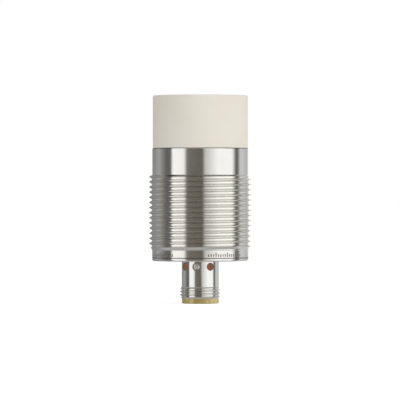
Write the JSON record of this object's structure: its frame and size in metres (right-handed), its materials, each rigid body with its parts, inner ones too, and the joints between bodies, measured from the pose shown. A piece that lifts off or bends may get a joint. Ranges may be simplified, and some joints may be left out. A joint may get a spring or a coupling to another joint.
{
  "type": "proximity sensor",
  "caption": "Inductive proximity sensor: externally threaded steel sleeve with a protruding plastic sensing cap, indicator windows and a threaded plug connector.",
  "frame": {"origin": "on the sensor's axis, half way along the M30 thread, where a bracket or lock nuts hold it", "axes": "+Z along the sensor's axis towards the sensing face; -Y towards the locking pin and the connector's coding key"},
  "size_m": [0.03, 0.03, 0.0608],
  "materials": {
    "stainless_steel": "turned, bright",
    "cap_plastic": "moulded, fine matte",
    "seal_rubber": "moulded",
    "amber_plastic": "translucent, smooth",
    "amber_lens": "clear, polished",
    "gold_contact": "gold plated, bright",
    "pin_steel": "polished",
    "board_laminate": "solder mask over glass laminate",
    "tin_plate": "tin plated",
    "chip_black": "moulded, matte",
    "capacitor_body": "moulded, matte",
    "ceramic_body": "fired ceramic",
    "resistor_body": "glazed",
    "led_body": "clear over white",
    "ferrite": "sintered, ground",
    "elastic_pad": "soft sheet",
    "bobbin_plastic": "moulded",
    "copper_wire": "enamelled copper",
    "holder_plastic": "moulded",
    "potting_resin": "cast resin"
  },
  "bodies": {
    "root": {"cap_seal_ring": "seal_rubber", "carrier_seal_ring": "seal_rubber", "ceramic_capacitors": "ceramic_body", "chip_resistors": "resistor_body", "coil_bobbin": "bobbin_plastic", "coil_terminals": "tin_plate", "coil_winding": "copper_wire", "connector_shell": "stainless_steel", "contact_carrier": "amber_plastic", "contact_pin_1": "gold_contact", "contact_pin_2": "gold_contact", "contact_pin_3": "gold_contact", "contact_pin_4": "gold_contact", "core_holder": "holder_plastic", "core_pad": "elastic_pad", "ferrite_core": "ferrite", "indicator_board": "board_laminate", "indicator_led_1": "led_body", "indicator_led_2": "led_body", "indicator_led_3": "led_body", "indicator_led_4": "led_body", "link_pins": "tin_plate", "locking_pin": "pin_steel", "main_board": "board_laminate", "output_driver": "chip_black", "potting_compound": "potting_resin", "protection_diodes": "chip_black", "sensing_cap": "cap_plastic", "sensor_chip": "chip_black", "shell_seal_ring": "seal_rubber", "smoothing_capacitor": "capacitor_body", "solder_joints": "tin_plate", "threaded_sleeve": "stainless_steel", "window_lens_1": "amber_lens", "window_lens_2": "amber_lens", "window_lens_3": "amber_lens", "window_lens_4": "amber_lens"}
  },
  "joints": []
}
